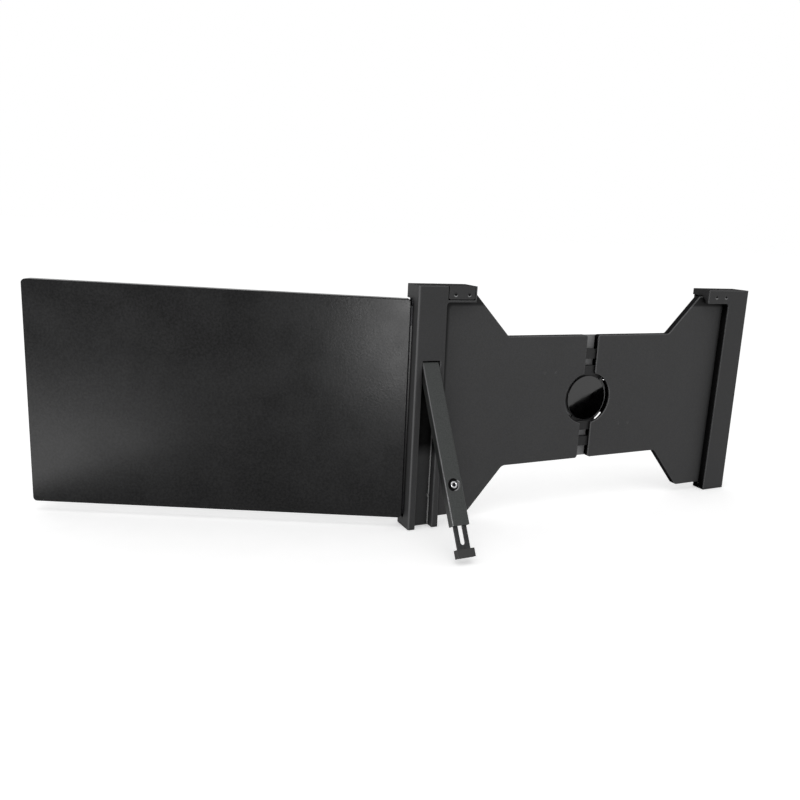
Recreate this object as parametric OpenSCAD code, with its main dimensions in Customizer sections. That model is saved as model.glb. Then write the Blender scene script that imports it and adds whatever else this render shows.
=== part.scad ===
// Laptop screen extender. A two-part back plate hangs on a laptop lid by hooks and spreads by a
// rack and pinion; a second screen swings on the left column and a kickstand folds out of it.
// Frame: X across the lid, +Y towards the user, +Z up. The origin is the middle of the lid's top
// edge on its back surface, so the lid fills y from 0 to lid_gap and z below 0.

/* [Lid mount] */
// clear depth of the channel that holds the lid
lid_gap = 5; // [4:0.25:6.5]
// thickness of the front lips that hook over the lid
lip_t = 1.4; // [1.2:0.1:2]
// thickness of the rubber pads on the seat plane
pad_t = 0.8; // [0.6:0.1:1.2]
// how far the hooks stand above the lid's top edge
rise = 7; // [6:0.5:9]

/* [Back plates] */
// overall thickness of the two back plates
plate_t = 7.6; // [7.4:0.1:10]
// half of the gap between the two plates as drawn
half_gap = 6.6; // [5:0.2:10]
// height of the narrow middle part of the plates
waist_h = 121.5; // [110:0.5:150]
// distance from the middle to the upper inner corner of the bow tie
waist_top_a = 95; // [88:0.5:104]
// distance from the middle to the lower inner corner of the bow tie
waist_low_a = 92.5; // [86:0.5:104]
// radius of the round hole for the hub
hole_r = 24.8; // [23.6:0.2:26]
// height of the hub below the lid's top edge
hub_drop = 100; // [92:0.5:112]

/* [Rack and pinion] */
// number of pinion teeth, a multiple of four
pinion_teeth = 28; // [24:4:28]
// tooth module of the pinion and racks
gear_module = 1.3; // [1.1:0.05:1.3]
// half length of the two guide rails
rail_half = 75; // [62:1:90]
// height of a guide rail
rail_h = 9.4; // [8:0.2:10.4]

/* [Columns] */
// half distance between the columns as drawn
column_in = 164; // [158:0.5:180]
// width of a column
column_w = 26.5; // [25.5:0.5:32]
// how far the columns stand behind the plates
column_step = 8.3; // [8.1:0.1:12]
// how much wider a column is at its foot than at its hook
column_flare = 2.4; // [0:0.2:3]

/* [Kickstand] */
// depth of the top of the leg's slot below the lid's top edge
slot_drop = 56.6; // [40:0.2:90]
// angle of the leg from its folded position as drawn
leg_angle = 30; // [0:1:55]
// how far the foot is drawn out of the leg
foot_out = 19; // [1:0.5:39]
// width of the leg
leg_w = 15.7; // [13:0.1:15.7]

/* [Screen] */
// outer width of the screen
screen_w = 323.5; // [290:0.5:380]
// outer height of the screen
screen_h = 194; // [180:1:232]
// thickness of the screen case
screen_t = 9; // [9:0.1:10]
// swing of the screen from the plane of the lid as drawn
swing = 26.4; // [21:0.2:170]
// width of the lit area
lit_w = 309.4; // [274:0.2:364]
// height of the lit area
lit_h = 174; // [160:0.2:212]

/* [Hidden] */
$fn = 48;
arc_steps = 8;
e = 0.01;
gap = 0.3;
// levels through the depth
plate_front = -pad_t;
plate_back = -pad_t - plate_t;
col_back = plate_back - column_step;
col_front = lid_gap + lip_t;
shell_t = 1.8;
sheet_t = 0.9;
cover_back = plate_front - sheet_t;
cavity_back = plate_back + shell_t;
slide_back = cavity_back + gap;
slide_front = cover_back - gap;
tooth_back = slide_front - 1.8;
disc_t = 2.2;
disc_back = tooth_back - gap - disc_t;
disc_skin = 1.1;
lug_t = 5;
ribs_t = 1.4;
roof_t = 2.2;
// heights
screen_top = -rise + 1.7;
screen_low = screen_top - screen_h;
col_top = rise;
block_top = screen_top + 0.4;
block_low = screen_low - 0.4;
col_low = block_low - 8.3;
hub_z = -hub_drop;
waist_top = hub_z + 61.9;
waist_low = waist_top - waist_h;
hem_low = col_low + 7;
// column layout, measured outwards from the middle
col_out = column_in + column_w;
col_wall = 2.2;
slot_in = column_in + 3.5;
slot_out = slot_in + 16.7;
rebate_a = col_out - 6.8;
rebate_y = -5.5;
web_a = rebate_a - 1.5;
floor_y = plate_back + 1.5;
seat_back = -1.5;
slot_top = -slot_drop;
// hook layout
arm_in = column_in - 28.6;
clip_in = arm_in + 1.9;
clip_out = column_in - 1.7;
clip_low = -4.3;
arm_low = -6.8;
hook_ceiling = 0.8;
lip_low = -9;
clip_gap = 0.75;
clip_corner = 1.6;
// screen hinge
hinge_a = col_out - 3.8;
hinge_y = col_front - 3.2;
pin_r = 1.5;
run = 0.06;
knuckle_r = 2.6;
knuckle_h = 22;
leaf_h = 16;
barrel_z = [screen_low + 0.2, screen_top - 0.2 - knuckle_h];
leaf_z = [screen_low + 6, screen_top - 6 - leaf_h];
case_u = 1;
case_front = -3.5;
case_back = case_front - screen_t;
case_wall = 1.6;
case_far = case_u + screen_w;
lit_u = case_u + (screen_w - lit_w) / 2;
lit_top = screen_top - 6;
lit_low = lit_top - lit_h;
// sockets and buttons on the screen's lower edge
ports_u = [case_far - 92, case_far - 76, case_far - 58];
port_half = [4.6, 4.6, 5.75];
button_u = [case_far - 30, case_far - 24, case_far - 16];
board_t = case_back + case_wall + 0.5;
// leg layout in its folded position
leg_mid = (slot_in + slot_out) / 2;
leg_in = leg_mid - leg_w / 2;
leg_out = leg_mid + leg_w / 2;
pivot_y = col_back + 2.5;
pivot_z = slot_top - 4.4;
leg_top = pivot_z + 2.4;
leg_low = col_low + 9;
leg_deep = col_back + 7.2;
leg_skin = 2.6;
slide_y0 = col_back + 2.9;
slide_y1 = slide_y0 + 1.8;
foot_top = leg_low - foot_out;
foot_h = 7;
clamp_z = leg_low + 33.4;
clamp_hole_r = 1.9;
strap_len = 82;
strap_half = 5.85;
// gear sizes
pitch = PI * gear_module;
pitch_r = pinion_teeth * gear_module / 2;
axle_r = 5;
tooth_half = pitch / 4 - 0.16;
rack_root = pitch_r + 1.4;
rack_body = 22.9;
rack_top = 32;
rack_mid = (rack_body + rack_top) / 2;
rail_mid = 43.4;
disc_r = 21.8;
hole_shift = 4.95;
rack_clear = 16;
rack_ends = [-40, 62];
teeth_end = 14;
strip_short = 0.4;
guide_a = 12;
guide_len = 28;
strip_half = 12;
// rubber pads by the columns and on the wings, as width and height
pad_size = [28, 10];
pad_z = [-30, hem_low + 8];
wing_pad = [18, 12];
wing_pad_a = 98;
wing_pad_z = 40;
// screws, as distances from the middle or heights
screw_z = -0.5;
clip_screws = [5.4, 18.6];
clip_shift = 3.6;
tongue_z = [-40, hub_z - 10, hem_low + 21];
tongue_a = column_in + 4.5;
cover_screw_a = [60, 84];
cover_screw_z = 54;
rack_screw_a = [41, 53];
rail_screw_x = 3.5;
case_posts_u = [case_u + 2.9, case_far - 2.9];
case_posts_z = [screen_low + 34, screen_low + screen_h / 2, screen_top - 34];

// ---- drawing helpers ----

module block(lo, hi) {
    translate(lo) cube(hi - lo);
}

module left() {
    mirror([1, 0, 0]) children();
}

// draws in X and Z and fills from y0 to y1
module along_y(y0, y1) {
    translate([0, y1, 0]) rotate([90, 0, 0]) linear_extrude(height = y1 - y0) children();
}

// draws in Y and Z and fills from x0 to x1
module along_x(x0, x1) {
    translate([x0, 0, 0]) rotate([90, 0, 90]) linear_extrude(height = x1 - x0) children();
}

module hole_y(x, z, r, y0, y1) {
    translate([x, y1, z]) rotate([90, 0, 0]) cylinder(r = r, h = y1 - y0);
}

module hole_x(y, z, r, x0, x1) {
    translate([x0, y, z]) rotate([0, 90, 0]) cylinder(r = r, h = x1 - x0);
}

module round_rect(x0, y0, x1, y1, r) {
    soft_polygon([[x0, y0], [x1, y0], [x1, y1], [x0, y1]], [r, r, r, r]);
}

// removes the sharp edge of a body that fills x below 0 and y above 0
module edge_round(r) {
    polygon(concat([for (k = [0 : arc_steps]) let(t = -90 * k / arc_steps)
        [r * cos(t) - r, r * sin(t) + r]], [[-r, -1], [1, -1], [1, r]]));
}

function unit(v) = v / norm(v);
function turn_left(v) = [-v[1], v[0]];
function cross2(a, b) = a[0] * b[1] - a[1] * b[0];

// outline moved inwards by d; the points run counter-clockwise
function inset_at(p, i, d) =
    let(n = len(p), a = p[(i + n - 1) % n], b = p[i], c = p[(i + 1) % n],
        u = unit(b - a), v = unit(c - b), na = turn_left(u), nb = turn_left(v),
        k = d / (1 + na * nb))
    b + k * (na + nb);
function inset(p, d) = [for (i = [0 : len(p) - 1]) inset_at(p, i, d)];

function reach(p, i, r) =
    let(n = len(p), u = unit(p[i] - p[(i + n - 1) % n]), v = unit(p[(i + 1) % n] - p[i]))
    r * tan(acos(min(1, u * v)) / 2);
function corner_side(p, i) =
    let(n = len(p), u = p[i] - p[(i + n - 1) % n], v = p[(i + 1) % n] - p[i])
    cross2(u, v) > 0 ? 1 : -1;
// points of the arc of radius r that rounds corner i
function corner_arc(p, i, r) =
    let(n = len(p), u = unit(p[i] - p[(i + n - 1) % n]), v = unit(p[(i + 1) % n] - p[i]),
        side = corner_side(p, i), start = turn_left(u) * -side * r,
        centre = p[i] - u * reach(p, i, r) - start, turn = side * acos(min(1, u * v)))
    [for (k = [0 : arc_steps]) let(t = turn * k / arc_steps)
        centre + cos(t) * start + sin(t) * turn_left(start)];

// polygon with every corner rounded, inner corners included
module soft_polygon(p, r) {
    polygon([for (i = [0 : len(p) - 1]) each corner_arc(p, i, r[i])]);
}

// ---- back plates ----

// half bow tie, seen from the front, counter-clockwise
plate_line = [
    [half_gap, waist_low], [waist_low_a, waist_low], [waist_low_a + 35.3, hem_low],
    [column_in, hem_low], [column_in, -gap], [waist_top_a + 36.3, -gap],
    [waist_top_a, waist_top], [half_gap, waist_top]];
plate_soft = [2.5, 7, 5, 0.5, 0.5, 3, 4, 2.5];

module plate_outline(d) {
    soft_polygon(inset(plate_line, d), [for (i = [0 : 7])
        max(0.4, plate_soft[i] + (corner_side(plate_line, i) > 0 ? -d : d))]);
}

module hub_hole(grow) {
    translate([half_gap - hole_shift, hub_z]) circle(r = hole_r + grow);
}

module at_cover_screws() {
    for (s = [-1, 1], a = cover_screw_a) translate([a, 0, hub_z + s * cover_screw_z]) children();
}

// shell of the right plate; side 1 puts the rack above the hub and side -1 below it
module plate_back_shell(side) {
    shift = side > 0 ? 0 : clip_shift;
    difference() {
        union() {
            along_y(plate_back, cavity_back) difference() {
                plate_outline(0);
                hub_hole(0);
            }
            along_y(cavity_back - e, cover_back) difference() {
                plate_outline(0);
                plate_outline(2);
                hub_hole(0);
            }
            // low wall around the hub hole, at full height between the racks
            for (top = [[tooth_back - gap, hole_r + 2], [cover_back - gap, rack_clear]])
                along_y(cavity_back - e, top[0]) intersection() {
                    difference() {
                        hub_hole(1.8);
                        hub_hole(0);
                    }
                    plate_outline(1);
                    translate([0, hub_z - top[1]]) square([clip_in, 2 * top[1]]);
                }
            // lug inside the hook
            block([clip_in + 3 + shift, plate_back, lip_low],
                [clip_out - 3 + shift, plate_back + lug_t, hook_ceiling + 3.7]);
            // tongues into the column
            for (z = tongue_z) {
                block([column_in - 12, cavity_back - e, z - 12], [column_in, cover_back, z + 12]);
                block([column_in - e, floor_y, z - 12], [column_in + 9, seat_back, z + 12]);
            }
            at_cover_screws() hole_y(0, 0, 3, cavity_back - e, cover_back);
            for (a = rack_screw_a)
                hole_y(a, hub_z + side * rack_mid, 4, cavity_back - e, slide_back);
        }
        // mouths for the rails and for the racks
        for (s = [-1, 1]) {
            block([half_gap - 1, cavity_back, hub_z + s * rail_mid - rail_h / 2 - gap],
                [half_gap + 3, plate_front, hub_z + s * rail_mid + rail_h / 2 + gap]);
            block([half_gap - 1, cavity_back, hub_z + (s > 0 ? rack_clear : -rack_top - gap)],
                [half_gap + 16, plate_front, hub_z + (s > 0 ? rack_top + gap : -rack_clear)]);
        }
        // clearance behind the hub's strip
        block([half_gap - 1, cover_back - gap, waist_low - 1],
            [strip_half + 3, plate_front, waist_top + 1]);
        for (a = clip_screws)
            hole_y(clip_in + a + shift, screw_z, 1, plate_back - 1, plate_back + 4);
        for (z = tongue_z) hole_y(tongue_a, z, 1.2, floor_y - 1, seat_back + 1);
        at_cover_screws() hole_y(0, 0, 1.1, cavity_back, cover_back + 1);
        for (a = rack_screw_a)
            hole_y(a, hub_z + side * rack_mid, 1.2, cavity_back - 1, slide_back + 1);
    }
}

module plate_front_cover() {
    difference() {
        along_y(cover_back, plate_front) difference() {
            plate_outline(0.3);
            hub_hole(3.5);
            translate([0, waist_low - 1]) square([strip_half + 3, waist_h + 2]);
        }
        at_cover_screws() hole_y(0, 0, 1.4, cover_back - 1, plate_front + 1);
    }
}

module cover_screws() {
    at_cover_screws() {
        hole_y(0, 0, 1.05, cavity_back + 1, cover_back + e);
        hole_y(0, 0, 1.35, cover_back, plate_front);
    }
}

module seat_pads() {
    along_y(plate_front, 0) {
        for (z = pad_z)
            round_rect(column_in - 6 - pad_size[0], z, column_in - 6, z + pad_size[1], 2);
        for (s = [-1, 1]) translate([0, hub_z + s * wing_pad_z])
            round_rect(wing_pad_a, -wing_pad[1] / 2, wing_pad_a + wing_pad[0], wing_pad[1] / 2, 2);
    }
}

// strips that the rails slide between
module slide_guides() {
    for (s = [-1, 1], d = [-1, 1]) {
        near = hub_z + s * rail_mid + d * (rail_h / 2 + gap);
        block([guide_a, cavity_back, min(near, near + 1.5 * d)],
            [guide_a + guide_len, slide_front, max(near, near + 1.5 * d)]);
    }
}

// toothed bar of the upper rack, drawn for the right plate
module rack(side) {
    translate([0, 0, hub_z]) mirror([0, 0, side > 0 ? 0 : 1]) difference() {
        union() {
            block([rack_ends[0], slide_back, rack_body], [rack_ends[1], slide_front, rack_top]);
            block([rack_ends[0], tooth_back, rack_root], [teeth_end, slide_front, rack_body + e]);
            along_y(tooth_back, slide_front) for (k = [-9 : 2])
                translate([k * pitch, 0]) polygon([
                    [-tooth_half - 0.51, rack_root + e], [-tooth_half + 0.4, pitch_r - 1.1],
                    [tooth_half - 0.4, pitch_r - 1.1], [tooth_half + 0.51, rack_root + e]]);
        }
        for (a = rack_screw_a) {
            hole_y(a, rack_mid, 1.2, slide_back - 1, slide_front + 1);
            hole_y(a, rack_mid, 2.3, slide_front - 1, slide_front + 1);
        }
    }
}

module rack_screws(side) {
    for (a = rack_screw_a) {
        hole_y(a, hub_z + side * rack_mid, 1.15, cavity_back - 0.8, slide_front - 0.9);
        hole_y(a, hub_z + side * rack_mid, 2.2, slide_front - 1, slide_front - 0.1);
    }
}

// ---- hub on the centre line ----

module at_rail_screws() {
    for (s = [-1, 1], x = [-rail_screw_x, rail_screw_x])
        translate([x, 0, hub_z + s * rail_mid]) children();
}

// pressed steel strip with the axle that the pinion turns on
module hub_carrier() {
    difference() {
        union() {
            along_y(cover_back, plate_front) {
                translate([-strip_half, waist_low + strip_short])
                    square([2 * strip_half, waist_h - 2 * strip_short]);
                translate([0, hub_z]) circle(r = hole_r + 2.4);
            }
            hole_y(0, hub_z, axle_r, disc_back + disc_t, cover_back + e);
        }
        hole_y(0, hub_z, 1.5, disc_back, plate_front + 1);
        at_rail_screws() hole_y(0, 0, 1.2, cover_back - 1, plate_front + 1);
    }
}

module guide_rails() {
    for (s = [-1, 1]) {
        mid = hub_z + s * rail_mid;
        difference() {
            union() {
                block([-rail_half, slide_back, mid - rail_h / 2],
                    [rail_half, slide_front, mid + rail_h / 2]);
                block([-6, slide_front - e, mid - rail_h / 2], [6, cover_back, mid + rail_h / 2]);
            }
            for (x = [-rail_screw_x, rail_screw_x])
                hole_y(x, mid, 1.1, slide_back + 1, cover_back + 1);
            for (d = [-1, 1]) block([d > 0 ? 14 : 8 - rail_half, slide_back - 1, mid - 1.6],
                [d > 0 ? rail_half - 8 : -14, slide_back + 1, mid + 1.6]);
        }
    }
}

module hub_disc() {
    difference() {
        hole_y(0, hub_z, disc_r, disc_back, disc_back + disc_t);
        hole_y(0, hub_z, 1.3, disc_back + disc_skin, disc_back + disc_t + 1);
    }
}

module hub_screws() {
    hole_y(0, hub_z, 1.3, disc_back + disc_skin, cover_back);
    hole_y(0, hub_z, 1.5, cover_back - e, plate_front);
    at_rail_screws() hole_y(0, 0, 1.1, slide_back + 1.2, plate_front);
}

module pinion() {
    translate([0, 0, hub_z]) difference() {
        along_y(tooth_back, slide_front) {
            circle(r = pitch_r - 1.5);
            for (k = [0 : pinion_teeth - 1])
                rotate((k + 0.5) * 360 / pinion_teeth) polygon([
                    [pitch_r - 1.6, -tooth_half - 0.5], [pitch_r + 1, -tooth_half + 0.42],
                    [pitch_r + 1, tooth_half - 0.42], [pitch_r - 1.6, tooth_half + 0.5]]);
        }
        hole_y(0, 0, axle_r + run, tooth_back - 1, slide_front + 1);
        for (k = [0 : 5]) rotate([0, 60 * k, 0])
            hole_y(10.8, 0, 2.6, tooth_back - 1, slide_front + 1);
    }
}

// ---- hooks ----

// end wall of a hook, in Y and Z; its root is rounded behind the plate
module hook_side() {
    root_r = 4.6;
    difference() {
        union() {
            translate([col_back, hook_ceiling]) square([col_front - col_back, col_top - hook_ceiling]);
            translate([col_back, arm_low]) square([plate_back - col_back, hook_ceiling - arm_low + e]);
            translate([plate_back - e, 0]) square([-0.6 - plate_back, hook_ceiling + e]);
        }
        translate([plate_back, arm_low]) circle(r = root_r);
    }
}

// hollow for the lug and bores for its two screws
module clip_inside(shift) {
    block([clip_in + 2.7, plate_back, hook_ceiling - 1],
        [clip_out - 2.7 + shift, plate_back + lug_t + gap, col_top - 2.3]);
    for (a = clip_screws) {
        hole_y(clip_in + a + shift, screw_z, 1.2, col_back - 1, plate_back + 1);
        translate([clip_in + a + shift, col_back - e, screw_z]) rotate([-90, 0, 0])
            cylinder(r1 = 2, r2 = 1.2, h = 1);
    }
}

// the loose hook that screws to the lug of the left plate
module left_clip() {
    left() difference() {
        union() {
            along_y(col_back, plate_back)
                round_rect(clip_in, clip_low, clip_out, hook_ceiling, clip_corner);
            block([clip_in, col_back, clip_low + clip_corner + 0.5], [clip_out, plate_back, col_top]);
            block([clip_in, plate_back - e, hook_ceiling], [clip_out, col_front, col_top]);
            block([clip_in, lid_gap, lip_low], [clip_out, col_front, hook_ceiling + e]);
        }
        clip_inside(0);
    }
}

module clip_screw_set(shift) {
    for (a = clip_screws) {
        hole_y(clip_in + a + shift, screw_z, 0.95, col_back + 0.5, plate_back + 4);
        translate([clip_in + a + shift, col_back + 0.2, screw_z]) rotate([-90, 0, 0])
            cylinder(r1 = 1.75, r2 = 0.95, h = 1);
    }
}

module clip_pad() {
    block([clip_in + 2, 0.3, 0], [clip_out - 2, lid_gap - 0.3, hook_ceiling]);
}

// ---- columns ----

module arm_fillet(y0, y1) {
    along_y(y0, y1) difference() {
        translate([column_in - 3, arm_low - 3]) square(3 + e);
        translate([column_in - 3, arm_low - 3]) circle(r = 3);
    }
}

module column_walls(front_of_side) {
    block([column_in, col_back, col_low], [col_out, col_back + col_wall, col_top]);
    block([col_out - col_wall, col_back, col_low], [col_out, front_of_side, col_top]);
    block([column_in, col_back, arm_low], [slot_in, plate_back, col_top]);
    // inner wall, wider at its foot, and the foot below the plate
    along_y(col_back, plate_back) polygon([
        [slot_in, arm_low + 1], [column_in, arm_low + 1], [column_in, arm_low],
        [column_in - column_flare, col_low], [slot_in, col_low]]);
    block([column_in - column_flare, plate_back - e, col_low],
        [slot_in, seat_back, hem_low - gap]);
    // roof over the lid's corner
    block([column_in, col_back, col_top - roof_t], [col_out, col_front, col_top]);
    block([column_in, seat_back, 0], [col_out, col_front, 1.6]);
    block([column_in, lid_gap, 0], [col_out, col_front, col_top]);
    block([column_in, seat_back, 0], [column_in + 1.6, col_front, col_top]);
    block([column_in, col_back, -4], [column_in + 1.6, seat_back, col_top]);
    arm_fillet(col_back, plate_back);
}

// rounds the outer back edge
module column_edge() {
    translate([col_out, col_back, col_low - 1]) linear_extrude(height = col_top - col_low + 2)
        edge_round(1.4);
}

module left_column() {
    left() difference() {
        union() {
            column_walls(rebate_y);
            // pocket for the folded leg
            block([slot_out, col_back, col_low], [slot_out + 2, plate_back, slot_top + 2.2]);
            block([column_in, plate_back - e, col_low], [col_out, floor_y, slot_top + 2.2]);
            block([column_in, col_back, slot_top], [slot_out + 2, floor_y, slot_top + 2.2]);
            for (z = [-18, -36])
                block([slot_in - 1, col_back + 1, z], [col_out - 1, floor_y, z + ribs_t]);
            // floor of the rebate that the screen edge turns in
            block([rebate_a, rebate_y - 1.5, col_low], [col_out, rebate_y, col_top]);
            block([rebate_a, plate_back, col_low], [rebate_a + 1.5, rebate_y, col_top]);
            // hinge blocks above and below the screen
            block([rebate_a, rebate_y - e, block_top], [col_out, col_front, block_top + 8]);
            block([rebate_a, rebate_y - e, block_top], [rebate_a + 1.5, col_front, col_top]);
            block([col_out - col_wall, rebate_y - e, block_top], [col_out, col_front, col_top]);
            block([rebate_a, rebate_y - e, col_low], [col_out, col_front, block_low]);
            // arm that carries the loose hook
            block([clip_out + clip_gap, col_back, arm_low], [column_in + e, plate_back, col_top]);
            block([clip_out + clip_gap, plate_back - e, hook_ceiling],
                [column_in + e, col_front, col_top]);
            block([arm_in, col_back, arm_low], [column_in, plate_back, clip_low - clip_gap]);
            along_x(arm_in, clip_in - clip_gap) hook_side();
        }
        block([slot_in, col_back - 1, col_low - 1], [slot_out, plate_back, slot_top]);
        column_edge();
        hole_x(pivot_y, pivot_z, 1.4, column_in + 1.2, slot_out + 2 + e);
        translate([hinge_a, hinge_y, block_top - 1]) cylinder(r = pin_r + run, h = 8.4);
        translate([hinge_a, hinge_y, block_low - 5.6]) cylinder(r = pin_r + run, h = 8);
        for (z = tongue_z) hole_y(tongue_a, z, 1.2, plate_back + 0.4, floor_y + 1);
    }
}

module right_column() {
    difference() {
        union() {
            column_walls(col_front);
            for (z = [-30, -70, -110, -150, -190])
                block([slot_in - 1, col_back + 1, z], [col_out - 1, floor_y, z + ribs_t]);
            block([web_a + 1.5, lid_gap, col_low], [col_out, col_front, col_top]);
            block([web_a + 1.5, plate_back, col_low], [col_out, col_front, col_low + 2.2]);
            block([slot_in - 1, col_back, col_low], [col_out, floor_y, col_low + 2.2]);
            block([column_in, plate_back - e, col_low], [col_out, floor_y, col_top]);
            // fixed hook
            block([clip_in, col_back, arm_low], [column_in + e, plate_back, col_top]);
            block([clip_in, plate_back - e, hook_ceiling], [column_in + e, col_front, col_top]);
            block([clip_in, lid_gap, lip_low], [column_in - 2, col_front, hook_ceiling + e]);
            along_x(arm_in, clip_in + e) hook_side();
        }
        clip_inside(clip_shift);
        column_edge();
        for (z = tongue_z) hole_y(tongue_a, z, 1.2, plate_back + 0.4, floor_y + 1);
    }
}

// inner channel that the side edge of the lid slides into
module lid_channel() {
    difference() {
        union() {
            block([column_in, seat_back, col_low], [rebate_a, 0, -gap]);
            block([web_a, seat_back, col_low], [rebate_a, col_front, -gap]);
            block([column_in + 8, lid_gap, col_low], [rebate_a, col_front, -gap]);
        }
        for (z = tongue_z) {
            hole_y(tongue_a, z, 1.4, seat_back - 1, 1);
            hole_y(tongue_a, z, 2.4, -0.9, 1);
        }
    }
}

module channel_pad() {
    block([web_a - 0.8, 0.4, col_low + 4], [web_a, lid_gap - 0.4, -4]);
}

module channel_screws() {
    for (z = tongue_z) {
        hole_y(tongue_a, z, 1.15, plate_back + 0.6, -0.8);
        difference() {
            hole_y(tongue_a, z, 2.2, -0.9, -0.2);
            block([tongue_a - 1.6, -0.55, z - 0.3], [tongue_a + 1.6, 0, z + 0.3]);
        }
    }
}

// ---- kickstand ----

module leg_pose() {
    translate([0, pivot_y, pivot_z]) rotate([-leg_angle, 0, 0])
        translate([0, -pivot_y, -pivot_z]) left() children();
}

module leg() {
    leg_pose() difference() {
        block([leg_in, col_back, leg_low], [leg_out, leg_deep, leg_top]);
        block([leg_in + 1.6, col_back + leg_skin, leg_low - 1],
            [leg_out - 1.6, leg_deep + 1, leg_top - 8]);
        block([leg_in - 1, pivot_y + 2.6, leg_top - 1.6], [leg_out + 1, leg_deep + 1, leg_top + 1]);
        hole_x(pivot_y, pivot_z, 1.4 + run, leg_in - 1, leg_out + 1);
        for (m = [0, 1]) translate([leg_mid, 0, 0]) mirror([m, 0, 0])
            translate([leg_w / 2, col_back, leg_low - 1]) linear_extrude(height = leg_top - leg_low + 2)
                edge_round(0.9);
        hole_y(leg_mid, clamp_z, 5.5, col_back - 1, col_back + 1.4);
        hole_y(leg_mid, clamp_z, clamp_hole_r, col_back, col_back + 3);
    }
}

module leg_pin() {
    left() hole_x(pivot_y, pivot_z, 1.4, column_in + 1.2, slot_out + 2);
}

module clamp_washer() {
    leg_pose() difference() {
        hole_y(leg_mid, clamp_z, 5.4, col_back + 0.8, col_back + 1.4);
        hole_y(leg_mid, clamp_z, clamp_hole_r, col_back, col_back + 2);
    }
}

module clamp_bar() {
    leg_pose() difference() {
        block([leg_in + 1.8, slide_y1 + gap, clamp_z - 4],
            [leg_out - 1.8, slide_y1 + 2.1, clamp_z + 4]);
        hole_y(leg_mid, clamp_z, 1.5 + run, slide_y1, slide_y1 + 3);
    }
}

module clamp_screw() {
    leg_pose() difference() {
        union() {
            hole_y(leg_mid, clamp_z, 3.25, col_back - 0.7, col_back + 0.75);
            hole_y(leg_mid, clamp_z, 1.5, col_back, slide_y1 + 2.3);
        }
        translate([leg_mid, col_back + 0.6, clamp_z]) rotate([90, 0, 0])
            cylinder(r = 1.75, h = 2, $fn = 6);
    }
}

module foot_strap() {
    low = foot_top - 3;
    top = foot_top + strap_len;
    leg_pose() difference() {
        along_y(slide_y0, slide_y1) difference() {
            round_rect(leg_mid - strap_half, low, leg_mid + strap_half, top, 1);
            round_rect(leg_mid - 2.2, foot_top + 3.5, leg_mid + 2.2, top - 3.5, 2.19);
        }
        for (z = [foot_top + 9 : 2.2 : top - 8], s = [-1, 1])
            block([leg_mid + s * 4 - 0.9, slide_y0 - 1, z],
                [leg_mid + s * 4 + 0.9, slide_y0 + 0.4, z + 1.1]);
    }
}

module foot_pad() {
    leg_pose() difference() {
        block([leg_mid - 8, col_back + 0.3, foot_top - foot_h],
            [leg_mid + 8, col_back + 6.3, foot_top]);
        block([leg_mid - strap_half, slide_y0, foot_top - 3],
            [leg_mid + strap_half, slide_y1, foot_top + 1]);
        for (x = [-6, -2, 2, 6]) block([leg_mid + x - 0.5, col_back, foot_top - foot_h - 1],
            [leg_mid + x + 0.5, col_back + 7, foot_top - foot_h + 0.6]);
    }
}

// ---- screen, drawn outwards from its hinge axis and then swung ----

module screen_pose() {
    translate([-hinge_a, hinge_y, 0]) rotate([0, 0, -swing]) left() children();
}

module screen_outline(d) {
    round_rect(case_u + d, screen_low + d, case_far - d, screen_top - d, 4.5 - d / 2);
}

// hollow bead between the two hinges that closes the gap to the column
module hinge_spine() {
    low = barrel_z[0] + knuckle_h + gap;
    high = barrel_z[1] - gap;
    difference() {
        union() {
            translate([0, 0, low]) cylinder(r = knuckle_r, h = high - low);
            translate([0, 0, low]) linear_extrude(height = high - low)
                polygon([[-1.6, 0], [-1.6, case_back + 4.5], [case_u + 1, case_back + 4.5],
                    [case_u + 1, case_front - 1.7], [0.9, case_front - 1.7], [0.9, 0]]);
        }
        translate([0, 0, low - 1]) cylinder(r = 1.2, h = high - low + 2);
    }
}

module rear_cover() {
    inner = case_back + case_wall;
    screen_pose() difference() {
        union() {
            along_y(case_back, inner) screen_outline(0);
            along_y(inner - e, case_front - 1.5) difference() {
                screen_outline(0);
                screen_outline(case_wall);
            }
            for (u = [lit_u + 40, lit_u + 120, lit_u + 200, lit_u + 280])
                block([u, inner - e, lit_low + 6], [u + 1.2, inner + 0.5, lit_top - 6]);
            for (u = case_posts_u, z = case_posts_z) hole_y(u, z, 2, inner - e, case_front - 1.5);
            hinge_spine();
        }
        for (z = leaf_z) block([case_u - 1, case_back + 4.2, z - 0.2],
            [case_u + case_wall + 1, case_front, z + leaf_h + 0.2]);
        // soft edges round the back
        for (m = [0, 1]) translate([0, 0, (screen_top + screen_low) / 2]) mirror([0, 0, m])
            translate([0, case_back, screen_h / 2]) rotate([90, 0, 90])
                linear_extrude(height = case_far + 1) rotate(180) edge_round(0.9);
        for (m = [0, 1]) translate([(case_u + case_far) / 2, 0, 0]) mirror([m, 0, 0])
            translate([screen_w / 2, case_back, screen_low - 1]) linear_extrude(height = screen_h + 2)
                edge_round(0.9);
        for (i = [0 : 2]) along_z_port(ports_u[i], port_half[i], screen_low - 1, screen_low + 3);
        for (u = button_u)
            block([u - 2, board_t + 1.9, screen_low - 1], [u + 2, board_t + 4.3, screen_low + 3]);
        for (u = case_posts_u, z = case_posts_z) hole_y(u, z, 1, inner + 1, case_front);
    }
}

// round-ended opening or shell of a socket that faces down
module along_z_port(u, half, z0, z1) {
    translate([u, board_t + 1 + 1.6, z0]) linear_extrude(height = z1 - z0) {
        translate([-half + 1.6, -1.6]) square([2 * half - 3.2, 3.2]);
        for (s = [-1, 1]) translate([s * (half - 1.6), 0]) circle(r = 1.6);
    }
}

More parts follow.
